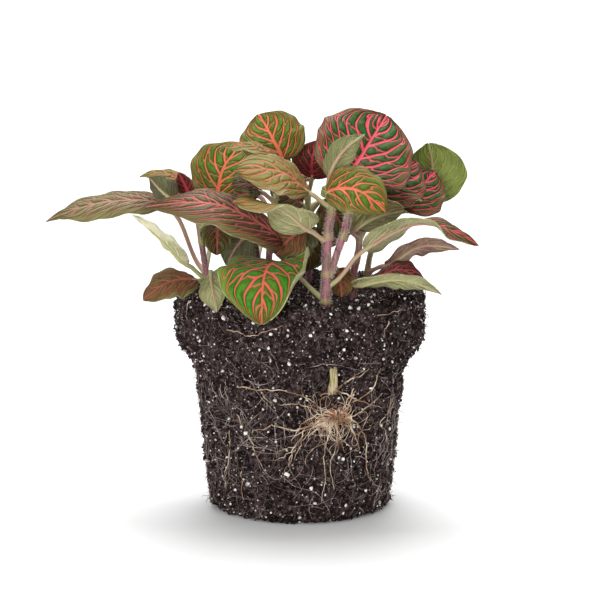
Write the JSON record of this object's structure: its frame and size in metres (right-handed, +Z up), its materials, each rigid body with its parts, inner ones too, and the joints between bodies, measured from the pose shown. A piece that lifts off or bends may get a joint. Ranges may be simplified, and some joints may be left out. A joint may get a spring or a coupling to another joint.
{
  "type": "potted nerve plant lifted out of its pot",
  "caption": "Bushy nerve plant with red-veined oval leaves on short hairy stems, standing on a bare root ball shaped by a round collared nursery pot.",
  "frame": {"origin": "centre of the flat foot of the root ball, on the surface the plant stands on", "axes": "+Z up along the ball's axis, -Y the front with the broken twig and its knot of roots, +X to the right seen from the front"},
  "size_m": [0.1469, 0.0992, 0.1387],
  "materials": {
    "peat": "matte",
    "stem": "satin",
    "root": "matte",
    "green_leaf": "satin",
    "bronze_leaf": "satin",
    "pale_leaf": "matte"
  },
  "bodies": {
    "root": {"leaf_back_1": "green_leaf", "leaf_back_2": "green_leaf", "leaf_back_3": "green_leaf", "leaf_back_4": "bronze_leaf", "leaf_back_left_1": "green_leaf", "leaf_back_left_2": "green_leaf", "leaf_back_left_3": "green_leaf", "leaf_left_1": "bronze_leaf", "leaf_left_2": "pale_leaf", "leaf_left_3": "bronze_leaf", "leaf_left_4": "pale_leaf", "leaf_left_5": "bronze_leaf", "leaf_left_6": "green_leaf", "leaf_left_7": "green_leaf", "leaf_left_8": "green_leaf", "leaf_main_1": "green_leaf", "leaf_main_2": "pale_leaf", "leaf_main_3": "green_leaf", "leaf_main_4": "bronze_leaf", "leaf_main_5": "green_leaf", "leaf_main_6": "green_leaf", "leaf_main_7": "pale_leaf", "leaf_main_8": "green_leaf", "leaf_middle_1": "bronze_leaf", "leaf_middle_2": "green_leaf", "leaf_middle_3": "green_leaf", "leaf_middle_4": "green_leaf", "leaf_middle_5": "green_leaf", "leaf_middle_6": "green_leaf", "leaf_right_1": "pale_leaf", "leaf_right_2": "bronze_leaf", "leaf_right_3": "pale_leaf", "leaf_right_4": "green_leaf", "leaf_right_back_1": "bronze_leaf", "leaf_right_back_2": "green_leaf", "leaf_right_back_3": "pale_leaf", "leaf_right_back_4": "green_leaf", "root_1": "root", "root_10": "root", "root_2": "root", "root_3": "root", "root_4": "root", "root_5": "root", "root_6": "root", "root_7": "root", "root_8": "root", "root_9": "root", "root_ball": "peat", "root_knot": "root", "root_stub": "root", "stem_back": "stem", "stem_back_left": "stem", "stem_left": "stem", "stem_main": "stem", "stem_middle": "stem", "stem_right": "stem", "stem_right_back": "stem"}
  },
  "joints": []
}
